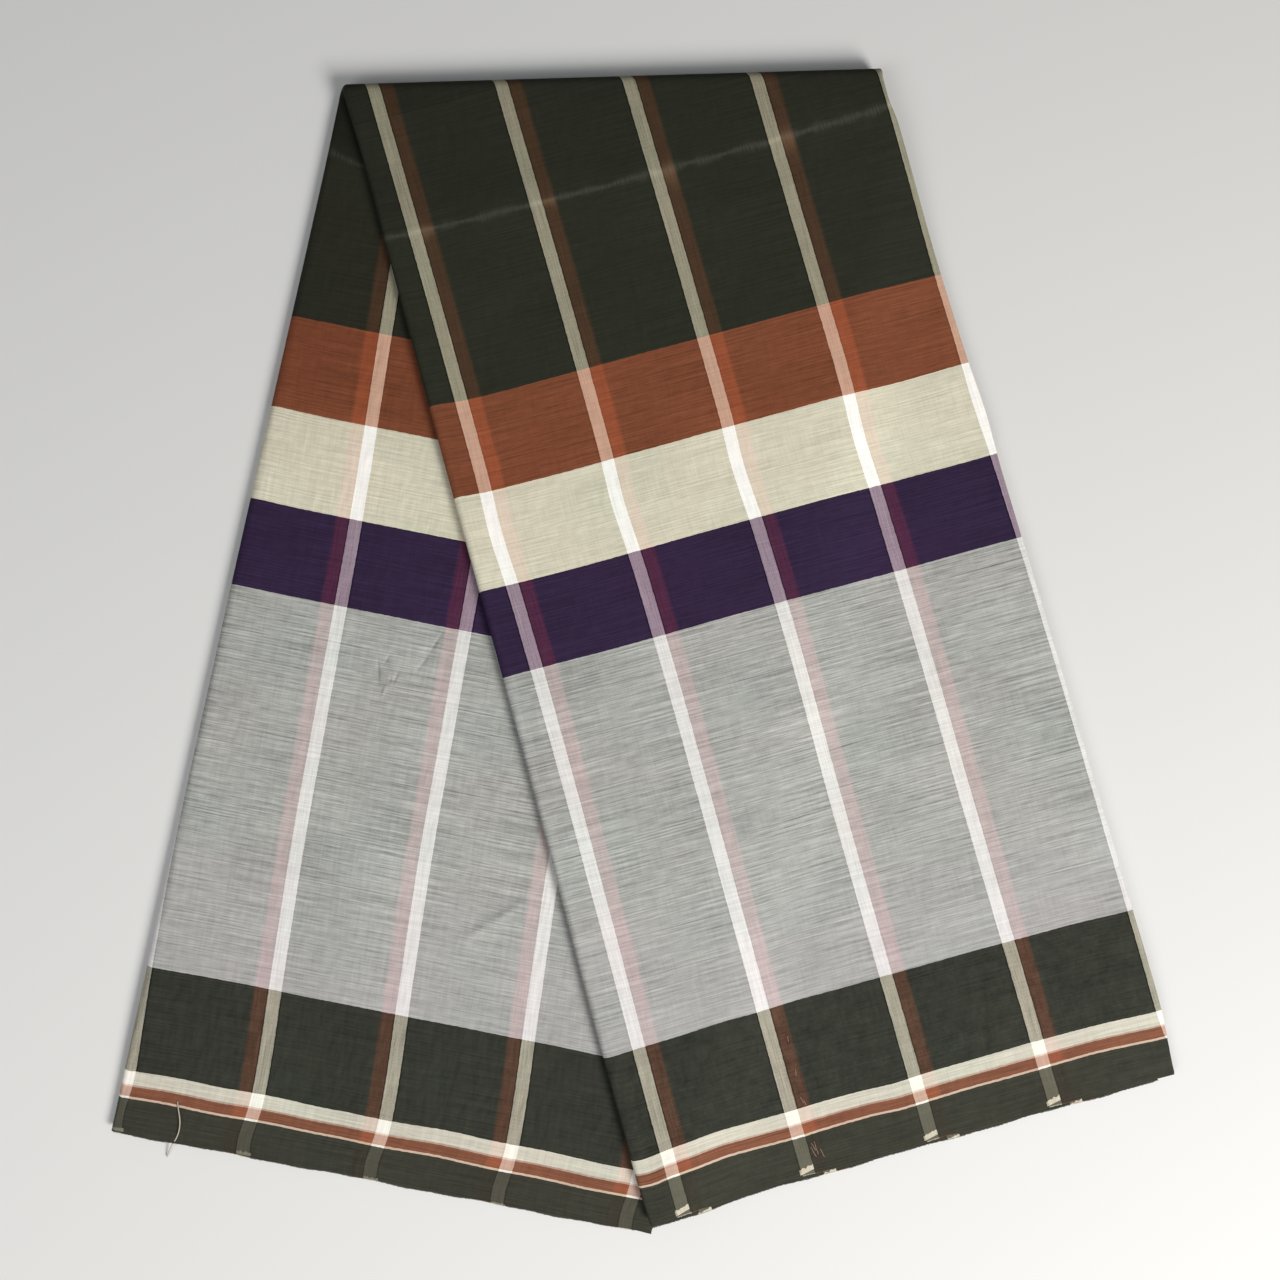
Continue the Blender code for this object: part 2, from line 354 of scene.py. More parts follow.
# Fine creases, too narrow for the mesh: their middle in the wing's measures across and along, the way they
# turn from the first to the second, how long and how wide they are, and how far they stand up or sink.
CREASE_COLUMNS = ("across", "along", "turn", "length", "width", "height")
FINE_CREASES = {
    "right_wing": (
        (172.0, 36.0, 88.0, 36.0, 1.1, -0.14),
        (189.0, 117.0, 85.0, 30.0, 1.3, -0.14),
        (190.0, 22.0, -66.0, 52.0, 1.2, -0.14),
    ),
    "left_wing": (
        (27.8, 252.3, 103.0, 13.0, 0.9, -0.7),
        (31.3, 258.3, 72.0, 6.0, 0.8, -0.32),
        (37.5, 250.6, 79.0, 6.5, 0.8, -0.42),
        (34.7, 248.3, 88.0, 4.5, 0.8, -0.32),
        (32.6, 242.0, 84.0, 5.5, 0.9, 0.5),
        (54.5, 272.0, 68.0, 13.0, 0.9, -0.36),
        (49.5, 260.0, 64.0, 11.0, 1.0, -0.3),
        (33.0, 245.0, 10.0, 16.0, 1.1, 0.18),
        (113.0, 143.5, 40.0, 17.0, 2.2, 0.6),
        (100.0, 132.0, 41.0, 20.0, 2.4, 0.45),
    ),
}

# How the cloth lies on each wing: the turn, the stretch and the start of its measure across the stripes
# and of its measure along them from the selvage.
LAY_COLUMNS = ("across_turn", "across_scale", "across_start", "along_turn", "along_scale", "along_start")
LAYS = {
    "right_wing": (15.78, 1.0090, 60.48, 15.33, 1.0099, 282.10),
    "left_wing": (-8.82, 0.9956, 158.80, -11.24, 1.0058, 295.00),
}
# Where handling has pulled the bands and stripes aside: the middle and the reach of each pull in those
# measures, and how far it moves the cloth across and along.
PULL_COLUMNS = ("across", "along", "across_reach", "along_reach", "pull_across", "pull_along")
PULLS = {
    "right_wing": (
        (0.0, 20.0, 70.0, 90.0, -1.5, 0.0),
        (130.0, 250.0, 400.0, 90.0, 0.9, 0.0),
        (130.0, 352.0, 400.0, 22.0, -1.3, 0.0),
        (60.0, 480.0, 110.0, 80.0, 0.7, 0.0),
        (262.0, 170.0, 14.0, 150.0, 1.3, 0.0),
        (262.0, 250.0, 14.0, 400.0, 0.6, 0.0),
        (262.0, 350.0, 14.0, 22.0, 0.6, 0.0),
        (264.0, 2.0, 12.0, 14.0, 2.6, 0.0),
        (-10.0, 35.0, 9.0, 45.0, 0.0, -1.6),
        (-14.0, 430.0, 14.0, 90.0, 0.0, 2.0),
        (262.0, 50.0, 22.0, 60.0, 0.0, -1.6),
        (262.0, 400.0, 28.0, 50.0, 0.0, 0.9),
        (26.0, 28.0, 14.0, 20.0, 0.0, 0.8),
        (46.0, 84.0, 16.0, 22.0, 0.0, 1.0),
        (122.0, 30.0, 12.0, 25.0, 0.0, -0.8),
        (50.0, 335.0, 38.0, 60.0, 0.0, -0.7),
    ),
    "left_wing": (
        (60.0, 5.0, 500.0, 14.0, -3.0, 0.0),
        (60.0, 50.0, 500.0, 35.0, 1.0, 0.0),
        (60.0, 165.0, 500.0, 40.0, -0.6, 0.0),
        (30.0, 330.0, 500.0, 80.0, 1.2, 0.0),
        (-62.0, 55.0, 14.0, 40.0, -1.6, 0.0),
        (-62.0, 120.0, 14.0, 30.0, -0.5, 0.0),
        (-62.0, 50.0, 25.0, 60.0, 0.0, -1.1),
        (150.0, 50.0, 60.0, 60.0, 0.0, 0.6),
        (-50.0, 350.0, 18.0, 60.0, 0.0, 1.0),
    ),
}


def lay_on(wing, x, y):
    """A wing's own measures at a point in plan: across the stripes, and along them from the selvage."""
    lay = named(LAY_COLUMNS, LAYS[wing])
    turn = math.radians(lay["across_turn"])
    across = lay["across_start"] + lay["across_scale"] * (math.cos(turn) * x + math.sin(turn) * y)
    turn = math.radians(lay["along_turn"])
    along = lay["along_start"] + lay["along_scale"] * (math.cos(turn) * y - math.sin(turn) * x)
    return across, along


def woven_at(wing, x, y):
    """The cloth's measures at a point in plan on a wing's top face."""
    across, along = lay_on(wing, x, y)
    pulled_across = 0.0
    pulled_along = 0.0
    for row in PULLS[wing]:
        pull = named(PULL_COLUMNS, row)
        away_across = (across - pull["across"]) / pull["across_reach"]
        away_along = (along - pull["along"]) / pull["along_reach"]
        share = math.exp(-away_across * away_across - away_along * away_along)
        pulled_across += share * pull["pull_across"]
        pulled_along += share * pull["pull_along"]
    if wing == "left_wing":
        return LEFT_WING_SHIFT - across + pulled_across, LOOM_WIDTH - along + pulled_along
    return across - pulled_across, along - pulled_along


def woven_cloth(name):
    """The plaid cotton, woven along the piece's own cloth measures."""
    cloth = Finish(name)
    place = cloth.node("ShaderNodeUVMap", {"uv_map": "cloth"})
    across = cloth.node("ShaderNodeSeparateXYZ", None, {"Vector": place}, "X") / MM
    along = cloth.node("ShaderNodeSeparateXYZ", None, {"Vector": place}, "Y") / MM
    starts = {band_name: start for band_name, start, *_ in BANDS}

    def threads(noise_name):
        """One of the noises, around 0."""
        noise = named(NOISE_COLUMNS, NOISES[noise_name])
        sizes = (noise["across"], noise["along"])
        scale = (*(1.0 / (size * MM) for size in sizes), 0.0)
        aside = (*(size * share for size, share in zip(sizes, NOISE_ASIDE)), 0.0)
        terms = {0: place, 1: scale, 2: aside}
        at = cloth.node("ShaderNodeVectorMath", {"operation": "MULTIPLY_ADD"}, terms)
        sockets = {"Vector": at, "Scale": 1.0, "Detail": noise["detail"]}
        texture = cloth.node("ShaderNodeTexNoise", {"noise_dimensions": "2D"}, sockets)
        return cloth.math("MULTIPLY_ADD", texture, NOISE_SPREAD, NOISE_SPREAD * -0.5)

    def ranged(value, start, end):
        """Goes from 0 to 1 as the value goes from start to end."""
        return cloth.node("ShaderNodeMapRange", None, {"Value": value, "From Min": start, "From Max": end})

    def bell(away):
        """1 in the middle, and 0 further away on either side."""
        return cloth.math("EXPONENT", away * away * -1.0)

    def by_band(column):
        """The colour or the number in a column of the table, for the band at hand."""
        stops = []
        for row in BANDS:
            value = named(BAND_COLUMNS, row)[column]
            color = value if isinstance(value, tuple) else (value, value, value)
            stops.append((len(stops) / len(BANDS), (*color, 1.0)))
        return cloth.node("ShaderNodeValToRGB", {"stops": stops}, {"Fac": band / len(BANDS)})

    # Each band of warp and each stripe of weft starts at its own thread, so their edges waver a little.
    from_selvage = cloth.math("MINIMUM", along, LOOM_WIDTH - along)
    wander = (from_selvage < HEM_REACH) * HEM_WANDER + BAND_WANDER
    band_place = from_selvage + threads("band_wander") * wander + threads("band_fray") * FRAY
    band = 0.5
    for start in list(starts.values())[1:]:
        band = (band_place > start) + band
    stripe_at = (across + threads("stripe_fray") * FRAY) / STRIPE_PITCH + WHOLE_PITCHES
    stripe_place = cloth.math("FRACT", stripe_at)

    _, rust_start, olive_start = (start / STRIPE_PITCH for _, start in WEFT_STRIPES)
    fade = RUST_FADE / STRIPE_PITCH
    is_olive = ranged(stripe_place, olive_start - fade, olive_start + fade)
    is_rust = stripe_place > rust_start
    color = cloth.mixed(is_rust, by_band("under_white"), by_band("under_rust"))
    color = cloth.mixed(is_olive, color, by_band("plain"))

    # The thick white weft turns back at the selvage, which leaves a row of pale knots on its stripes.
    far_half = along > LOOM_WIDTH / 2.0
    over = OVER_NEAR - (OVER_NEAR - OVER_FAR) * far_half
    knot_across = cloth.math("FRACT", (across + KNOT_SIDE) / STRIPE_PITCH + WHOLE_PITCHES) * STRIPE_PITCH
    knot_in = from_selvage + over - knot_across * KNOT_SLANT * (1.0 - far_half)
    knot_line = knot_in + threads("knots") * KNOT_RAGGED
    is_knot = (knot_line < KNOT_DEPTH - far_half * KNOT_DEPTH_LOST) * (knot_in > 0.0)
    is_knot = is_knot * (knot_across < rust_start * STRIPE_PITCH + KNOT_SIDE)
    color = cloth.mixed(is_knot, color, cloth.mixed(far_half, KNOT_COLOR, FAR_KNOT_COLOR))

    # Slubs: thick and thin threads show as streaks, strongest along the grey warp, and some stand out pale.
    long_slub = threads("long_slub")
    short_slub = threads("short_slub")
    weft_slub = threads("weft_slub")
    grain = threads("grain")
    pale_slub = cloth.math("MAXIMUM", threads("pale_slub") - PALE_FROM, 0.0)
    is_grey = (band_place > starts["grey"]) * (band_place < starts["purple"])
    grey_foot = ranged(from_selvage, *GREY_FOOT) * is_grey
    slub = by_band("slub") * (is_rust * RUST_SLUBS + is_olive * OLIVE_SLUBS + WHITE_SLUBS)
    slub = slub * (1.0 - grey_foot * FOOT_SLUBS_LOST)
    streaks = long_slub * LONG_SLUBS + short_slub * SHORT_SLUBS + pale_slub * PALE_SLUBS
    shade = 1.0 + slub * (streaks + grain * GRAIN + threads("clouds") * CLOUDS)

    # Over the dark warp the thick white weft shows its separate picks, and lies between two hollows, where
    # shade is painted as dark lines.
    # Where it was never pressed, the dark cloth is mottled.
    on_dark = by_band("dark")
    in_foot = from_selvage < starts["grey"]
    mottled = threads("mottle") * MOTTLE + threads("fine_mottle") * FINE_MOTTLE
    shade = shade + in_foot * on_dark * is_rust * mottled * (1.0 - far_half * FAR_MOTTLE_LOST)
    on_stripe = (1.0 - is_olive) * on_dark
    picks = (1.0 - is_rust) * WHITE_PICKS + on_dark * DARK_PICKS + on_stripe * STRIPE_PICKS + PICKS
    shade = shade + weft_slub * picks + grain * on_stripe * STRIPE_GRAIN
    hollow = HOLLOW_WIDTH / STRIPE_PITCH
    beside_white = cloth.math("FRACT", stripe_place + hollow) < hollow
    beside_rust = abs(stripe_place - rust_start - hollow * RUST_HOLLOW_MIDDLE) < hollow * RUST_HOLLOW_REACH
    # Painted shade in the hollows beside the white weft.
    shade = shade * (1.0 - (beside_white + beside_rust) * on_dark * HOLLOW_PAINTED_SHADE)

    near_white, far_white = SELVAGE_WHITE
    in_selvage = (1.0 - is_rust) * (band < 1.0)
    shade = shade * (1.0 + in_selvage * (far_half * (far_white - near_white) + near_white))

    # The mark of the shop's fold, pressed into the cloth across the stripes. It is painted paler: partly
    # cloth worn by the pressing, partly painted sheen on the crease.
    bend = (across - PRESS_MIDDLE) / PRESS_MIDDLE
    near_mark = bend * bend * PRESS_BEND + PRESS_FROM
    far_across = cloth.math("MINIMUM", cloth.math("MAXIMUM", across, PRESS_FAR_RANGE[0]), PRESS_FAR_RANGE[1])
    far_mark = far_across * PRESS_FAR_SLANT + PRESS_FAR_FROM
    mark = near_mark + (far_mark - near_mark) * far_half
    press_off = from_selvage - mark + threads("press_wander") * PRESS_WANDER
    press_off = press_off / (PRESS_WIDTH * (1.0 + threads("press_width") * PRESS_WIDENS))
    pressed = bell(press_off) * (1.0 + threads("press_fray") * PRESS_FRAY)
    pressed = pressed * (1.0 - far_half * PRESS_FAR_LOST)
    rust_pressed = bell((press_off + PRESS_RUST_SHIFT) / PRESS_RUST_REACH) * is_rust * (1.0 - is_olive)
    past_mark = ranged(press_off, *PAST_MARK)
    # Painted sheen, with some wear, on the mark and on the rust weft just past it.
    shade = shade + pressed * PRESS_SHEEN_AND_WEAR + rust_pressed * PRESS_ON_RUST
    # Painted shade towards the fold: past the mark the cloth is darkened, and the left wing's face more,
    # where it lies in the fold's shadow.
    shade = shade * (1.0 - past_mark * ((across < FAR_FROM) * FOLD_PAINTED_SHADE + PAST_MARK_PAINTED_SHADE))

    color = cloth.shaded(color, shade)
    # Painted shade: the left wing's rust and olive weft darkened towards the fold.
    color = cloth.mixed(ranged(from_selvage, *FOLD_PAINTED_DARK_RANGE) * far_half * is_rust, color, FOLD_PAINTED_DARK, "MULTIPLY")
    color = cloth.mixed(pressed * PRESS_SHEEN_SHARE, color, PRESS_COLOR)
    color = cloth.mixed(threads("blush") * BLUSH_CONTRAST + 0.5, color, BLUSH_TINT, "MULTIPLY")
    color = cloth.mixed(grey_foot, color, LAVENDER_TINT, "MULTIPLY")

    # The relief: the weave, its thicker threads, the fine creases, and puckers that run across the bands,
    # most of all where the foot was never pressed.
    creased = 0.0
    dot = {"operation": "DOT_PRODUCT"}
    for wing, creases in FINE_CREASES.items():
        for row in creases:
            crease = named(CREASE_COLUMNS, row)
            middle = (crease["across"], crease["along"])
            if wing == "left_wing":
                middle = (LEFT_WING_SHIFT - crease["across"], LOOM_WIDTH - crease["along"])
            sockets = {
                "Vector": place,
                "Location": (middle[0] * MM, middle[1] * MM, 0.0),
                "Rotation": (0.0, 0.0, math.radians(crease["turn"])),
                "Scale": (crease["length"] / CREASE_TAPER * MM, crease["width"] * MM, 1.0),
            }
            way = cloth.node("ShaderNodeMapping", {"vector_type": "TEXTURE"}, sockets)
            away = cloth.node("ShaderNodeVectorMath", dot, {0: way, 1: way}, "Value")
            creased = cloth.math("EXPONENT", away * -1.0) * crease["height"] + creased
    puckered = threads("pucker") * (in_foot * (from_selvage > FOOT_FROM) * FOOT_PUCKER + PUCKER)
    weave = cloth.math("SINE", across * (math.pi / WEAVE_PITCH))
    weave = weave * cloth.math("SINE", along * (math.pi / WEAVE_PITCH))
    relief = weave * WEAVE_RELIEF + long_slub * SLUB_RELIEF + weft_slub * PICK_RELIEF
    relief = relief + puckered * PUCKER_RELIEF + creased * RELIEF_UNITS
    bump = {"Strength": COTTON_BUMP, "Distance": BUMP_DEPTH, "Height": relief}
    return cloth.finished(
        base_color=color,
        roughness=COTTON_ROUGHNESS + short_slub * COTTON_ROUGHNESS_VARIES,
        normal=cloth.node("ShaderNodeBump", None, bump),
        specular_ior_level=COTTON_GLOSS,
    )


plaid = woven_cloth("plaid_cotton")

# --- The folded strip ----------------------------------------------------------------------------------
# Eight plies lie on each other. The outermost one wraps them at the left edge, and the right edge shows
# the turns of the plies inside. The strip is bent over along a slanting line at the top.
STACK = 6.0  # height of the eight plies, with the air between them
FOLD_CORE = 0.6  # radius left open inside the fold at the top
FOLD_SETTLE = 45.0  # way down the right wing over which the fold's puff settles
FOLD_PUFF = 0.9  # how much higher the right wing lies at the fold
LYING_GAP = 0.3  # air between the two wings
MIDDLE_SAG = 0.7  # how much lower the plies lie between the two long edges
SAG_EASE = 4.0  # the sag comes in over the first quarter of a wing
END_FLAT = 1.8  # how much flatter the plies lie at the selvages, where nothing is folded
END_FLAT_FROM = 0.86  # share of a wing's length where that starts
ROLL_SPREAD = {"right_wing": 0.15, "left_wing": 0.75}  # how much wider than high the left roll is
ROLL_EASE = 6.0  # it gets so over the first sixth of a wing, and back over the last sixth
RAGGED_WAVES = ((0.3, 11.0, 1.0), (0.18, 4.1, 2.0))  # of a selvage: height, way of one radian, and shift
STEP_START = 6.0  # way past the left wing's edge where the right wing starts to come down
STEP_LENGTH = 44.0  # way over which it comes down to the surface

# Long edges of the two wings in plan, each from the fold's centre line to its selvage, and where each
# bulges: the way from the fold, the reach, and how far to the right.
EDGE_COLUMNS = ("start_x", "start_y", "end_x", "end_y")
EDGES = {
    "right_wing_left": (-154.6, 283.3, 2.0, -294.3),
    "right_wing_right": (126.2, 291.7, 271.7, -220.1),
    "left_wing_left": (-159.2, 282.4, -267.4, -248.4),
    "left_wing_right": (126.2, 291.7, 5.2, -299.1),
}
BULGE_COLUMNS = ("way", "reach", "aside")
BULGES = {
    "right_wing_left": ((0.0, 22.0, -0.9), (380.0, 150.0, 1.4), (560.0, 50.0, 0.9), (598.0, 18.0, 1.3)),
    "right_wing_right": (
        (0.0, 8.0, -0.8),
        (12.0, 9.0, -1.3),
        (181.0, 22.0, 1.1),
        (250.0, 150.0, 1.15),
        (534.0, 24.0, -3.0),
    ),
    "left_wing_left": ((0.0, 20.0, -0.4), (270.0, 180.0, -0.6)),
    "left_wing_right": (),
}

# Soft creases in the wings' faces, with the same columns as the fine ones.
CREASES = {
    "right_wing": (
        (-8.8, 215.0, 90.0, 270.0, 2.6, -0.6),
        (-6.3, 54.0, 88.0, 100.0, 2.8, -1.0),
        (24.0, 58.0, 92.0, 50.0, 4.0, 0.45),
        (33.0, 62.0, 96.0, 44.0, 3.0, -0.4),
        (47.0, 60.0, 88.0, 46.0, 4.0, -0.4),
        (92.0, 55.0, 95.0, 50.0, 4.5, 0.5),
        (108.0, 62.0, 90.0, 44.0, 3.4, -0.5),
        (150.0, 58.0, 86.0, 48.0, 4.0, 0.45),
        (168.0, 60.0, 94.0, 46.0, 3.4, -0.4),
        (191.0, 34.0, -66.0, 44.0, 2.4, -0.35),
        (225.0, 58.0, 90.0, 48.0, 4.5, 0.4),
        (240.0, 66.0, 93.0, 40.0, 3.0, -0.35),
        (172.0, 40.0, 88.0, 34.0, 2.2, -0.35),
        (189.0, 117.0, 85.0, 34.0, 2.4, -0.4),
        (122.0, 307.0, 90.0, 54.0, 2.4, -0.35),
        (70.0, 180.0, 62.0, 120.0, 8.0, 0.35),
        (215.0, 210.0, 75.0, 150.0, 9.0, -0.35),
        (60.0, 470.0, 15.0, 120.0, 9.0, -0.48),
        (190.0, 490.0, 5.0, 130.0, 10.0, 0.48),
    ),
    "left_wing": (
        (51.5, 265.0, 66.0, 34.0, 2.4, -0.4),
        (28.5, 252.0, 103.0, 17.0, 2.2, -0.38),
        (35.5, 253.5, 64.0, 18.0, 2.2, 0.34),
        (35.0, 243.5, 8.0, 28.0, 2.4, 0.28),
        (31.5, 239.5, 80.0, 16.0, 2.3, -0.36),
        (107.0, 137.0, 41.0, 56.0, 3.6, 0.6),
        (143.0, 62.0, 90.0, 60.0, 5.0, -0.6),
        (154.0, 112.0, 60.0, 30.0, 2.6, -0.5),
        (-20.0, 60.0, 88.0, 50.0, 4.2, 0.35),
        (30.0, 58.0, 92.0, 50.0, 4.0, -0.35),
        (48.0, 62.0, 90.0, 44.0, 4.4, 0.35),
        (95.0, 58.0, 87.0, 48.0, 4.2, -0.4),
        (-40.0, 150.0, 84.0, 90.0, 4.6, 0.35),
        (10.0, 180.0, 58.0, 110.0, 8.0, -0.35),
    ),
}

# Shallow troughs in the two undersides, which lie flat between them.
UNDER_TROUGHS = {
    "right_wing": (
        (20.0, 240.0, 84.0, 190.0, 5.0, 0.3),
        (236.0, 150.0, 97.0, 210.0, 6.0, 0.35),
        (200.0, 330.0, 66.0, 120.0, 4.0, 0.25),
        (250.0, 430.0, 40.0, 80.0, 4.0, 0.3),
        (90.0, 60.0, 88.0, 70.0, 3.5, 0.3),
        (140.0, 52.0, 93.0, 60.0, 3.0, 0.25),
    ),
    "left_wing": (
        (30.0, 220.0, 95.0, 240.0, 6.0, 0.35),
        (-20.0, 330.0, 86.0, 180.0, 5.0, 0.3),
        (120.0, 180.0, 60.0, 130.0, 4.0, 0.3),
        (70.0, 420.0, 12.0, 110.0, 7.0, 0.3),
        (10.0, 60.0, 91.0, 70.0, 3.5, 0.3),
        (150.0, 64.0, 86.0, 60.0, 3.0, 0.25),
    ),
}
CREASE_REACH = 3.0  # in widths, past which a crease is nothing


def smooth(x):
    """Eases from 0 to 1."""
    x = min(1.0, max(0.0, x))
    return x * x * (3.0 - 2.0 * x)


def edge_run(name):
    """Where a wing's long edge starts in plan, and its run from there."""
    edge = named(EDGE_COLUMNS, EDGES[name])
    return edge["start_x"], edge["start_y"], edge["end_x"] - edge["start_x"], edge["end_y"] - edge["start_y"]


def edge_point(name, t):
    """A point on a wing's long edge in plan, from the fold (0) to the selvage (1)."""
    start_x, start_y, run_x, run_y = edge_run(name)
    length = math.hypot(run_x, run_y)
    aside = 0.0
    for row in BULGES[name]:
        bulge = named(BULGE_COLUMNS, row)
        away = (t * length - bulge["way"]) / bulge["reach"]
        aside += bulge["aside"] * math.exp(-away * away)
    return start_x + run_x * t - run_y / length * aside, start_y + run_y * t + run_x / length * aside


FOLD_TO_FOOT = (edge_point("right_wing_left", 0.0), edge_point("right_wing_left", 1.0))


def past_left_wing(x, y):
    """How far a point in plan lies past the left wing's right edge, which the right wing covers."""
    start_x, start_y, run_x, run_y = edge_run("left_wing_right")
    return ((y - start_y) * run_x - (x - start_x) * run_y) / math.hypot(run_x, run_y)


def crease_height(creases, wing, x, y):
    """How far a wing's creases lift or sink its cloth at a point in plan."""
    across, along = lay_on(wing, x, y)
    height = 0.0
    for row in creases[wing]:
        crease = named(CREASE_COLUMNS, row)
        turn = math.radians(crease["turn"])
        away_across = across - crease["across"]
        away_along = along - crease["along"]
        way = (away_across * math.cos(turn) + away_along * math.sin(turn)) / (crease["length"] / 2.0)
        aside = (away_along * math.cos(turn) - away_across * math.sin(turn)) / crease["width"]
        if abs(way) < 1.0 and abs(aside) < CREASE_REACH:
            height += crease["height"] * (1.0 - way * way) ** 2 * math.exp(-aside * aside)
    return height


class Station:
    """One cross-section of the strip: on a wing at t, or on the bend at an angle from the right wing."""

    def __init__(self, wing, t=0.0, angle=None, ragged=None):
        self.wing = wing
        self.t = t
        self.angle = angle
        self.ragged = ragged
        self.left = edge_point(wing + "_left", t)
        right = edge_point(wing + "_right", t)
        if angle is not None:
            share = smooth(angle / math.pi)
            far_left = edge_point("left_wing_left", 0.0)
            self.left = tuple(near + (far - near) * share for near, far in zip(self.left, far_left))
        self.width = math.dist(self.left, right)
        self.across = ((right[0] - self.left[0]) / self.width, (right[1] - self.left[1]) / self.width)
        self.roll = self.height(0.0) / 2.0
        eased = smooth(ROLL_EASE * t) * smooth(ROLL_EASE * (1.0 - t))
        self.reach = self.roll * (1.0 + ROLL_SPREAD[wing] * eased)

    def inset(self, distance, ragged):
        """The same section, moved in from the selvage by a distance, with a ragged line."""
        length = math.dist(Station(self.wing).left, self.left)
        return Station(self.wing, 1.0 - distance / length, ragged=ragged)

    def plan(self, a, beyond=0.0):
        """The point in plan at distance a from the left edge, and beyond the section towards the fold."""
        if self.ragged is not None:
            for height, length, shift in RAGGED_WAVES:
                beyond += height * math.sin(a / length + shift * self.ragged)
        return (
            self.left[0] + self.across[0] * a - self.across[1] * beyond,
            self.left[1] + self.across[1] * a + self.across[0] * beyond,
        )

    def height(self, a):
        """Height of all the plies, lower between the edges and at the selvages."""
        sag = MIDDLE_SAG * math.sin(math.pi * min(1.0, max(0.0, a / self.width))) * smooth(self.t * SAG_EASE)
        flat = END_FLAT * smooth((self.t - END_FLAT_FROM) / (1.0 - END_FLAT_FROM))
        crease = 0.0 if self.angle is not None else crease_height(CREASES, self.wing, *self.plan(a))
        return STACK - sag - flat + crease

    def base(self, x, y):
        """Height of the strip's underside: the right wing lies on the left one, then comes down."""
        if self.wing == "left_wing":
            return 0.0
        puff = FOLD_PUFF * (1.0 - smooth(self.t * math.dist(*FOLD_TO_FOOT) / FOLD_SETTLE))
        return (STACK + LYING_GAP + puff) * (1.0 - smooth((past_left_wing(x, y) - STEP_START) / STEP_LENGTH))

    def place(self, a, h):
        """The point at distance a from the left edge and h above the plies' inner side, where they bend."""
        if self.angle is not None:
            radius = FOLD_CORE + h
            x, y = self.plan(a, radius * math.sin(self.angle))
            return x, y, STACK + FOLD_CORE + radius * math.cos(self.angle)
        x, y = self.plan(a)
        up = self.height(a) - h if self.wing == "left_wing" else h
        under = crease_height(UNDER_TROUGHS, self.wing, x, y) * (1.0 - up / STACK)
        return x, y, self.base(x, y) + up + under


FOLD_LINE = Station("right_wing")
FOLD_BLEND = 120.0  # way past the fold over which a hidden ply takes its own wing's lay


def roll_length(station):
    """Way along the cloth from the top of the left roll to its middle."""
    return math.pi / 2.0 * math.sqrt((station.reach ** 2 + station.roll ** 2) / 2.0)


def cloth_at(station, run, side):
    """Cloth measures of the outer or inner ply, where run is the way across it from the left edge."""
    seen_on = "right_wing" if side == "outer" else "left_wing"
    bend = math.pi * (FOLD_CORE + (STACK if side == "outer" else 0.0))
    if station.angle is not None:
        turned = station.angle if side == "outer" else math.pi - station.angle
        return woven_at(seen_on, *FOLD_LINE.plan(run, bend * turned / math.pi))
    if station.wing == seen_on:
        return woven_at(seen_on, *station.plan(run))
    rolled = woven_at(station.wing, *station.plan(2.0 * (station.reach - roll_length(station)) - run))
    x, y = station.plan(run)
    away_x = x - FOLD_LINE.left[0]
    away_y = y - FOLD_LINE.left[1]
    down = away_x * FOLD_LINE.across[1] - away_y * FOLD_LINE.across[0]
    beside = away_x * FOLD_LINE.across[0] + away_y * FOLD_LINE.across[1]
    folded = woven_at(seen_on, *FOLD_LINE.plan(beside, down + bend))
    share = smooth(down / FOLD_BLEND)
    return tuple(share * r + (1.0 - share) * f for r, f in zip(rolled, folded))


# --- The plies that show -------------------------------------------------------------------------------
# The outermost cloth of the strip. Its right wing's face goes over the fold to the left wing's underside,
# and its left wing's face goes inside the fold to the right wing's underside. The two meet in the middle
# of the left roll. At the right edge each turns under, into the next ply.
CLOTH = 0.3  # thickness of one ply
PLIES = 8.0
SEEN_STEP = 2.36  # between the mesh's rows where a ply shows, and where it lies hidden
HIDDEN_STEP = 7.0
BEND_ROWS = 14
ROLL_ANGLES = (90.0, 88.0, 83.0, 75.0, 64.0, 52.0, 39.0, 26.0, 13.0, 0.0)
TURN_ANGLES = (24.0, 48.0, 72.0, 96.0, 120.0, 146.0, 180.0)
LIP = 7.0  # way that a ply runs on after it has turned under
SHARP_ANGLE = 50.0
PLY_END_COLUMNS = ("right_end_in", "left_end_in", "edge_in", "ragged")
PLY_ENDS = {
    "outer": (2.0, 1.2, 0.4, 0.7),
    "inner": (1.4, 0.2, 0.9, 2.9),
}


def strip_stations(right_step, left_step, right_end_in, left_end_in, ragged):
    """Sections from the right wing's selvage, over the fold, to the left wing's selvage."""
    length = math.dist(*FOLD_TO_FOOT)
    right_rows = round(length / right_step)
    left_rows = round(length / left_step)
    down = [Station("right_wing", 1.0 - j / right_rows) for j in range(1, right_rows + 1)]
    bend = [Station("right_wing", 0.0, math.pi * j / BEND_ROWS) for j in range(1, BEND_ROWS)]
    back = [Station("left_wing", j / left_rows) for j in range(left_rows)]
    right_end = Station("right_wing", 1.0).inset(right_end_in, ragged)
    left_end = Station("left_wing", 1.0).inset(left_end_in, ragged)
    down = [station for station in down if station.t < right_end.t - 0.5 / right_rows]
    back = [station for station in back if station.t < left_end.t - 0.5 / left_rows]
    return [right_end] + down + bend + back + [left_end]


def turned_under(flat_end, depth, turn, lip):
    """Where a ply turns under at the right edge: distance from the left edge, depth and way across it."""
    line = []
    for degrees in TURN_ANGLES:
        angle = math.radians(degrees)
        way = flat_end + turn * angle
        line.append((flat_end + turn * math.sin(angle), depth + turn * (1.0 - math.cos(angle)), way))
    for share in (0.5, 1.0):
        line.append((flat_end - lip * share, depth + 2.0 * turn, flat_end + math.pi * turn + lip * share))
    return line


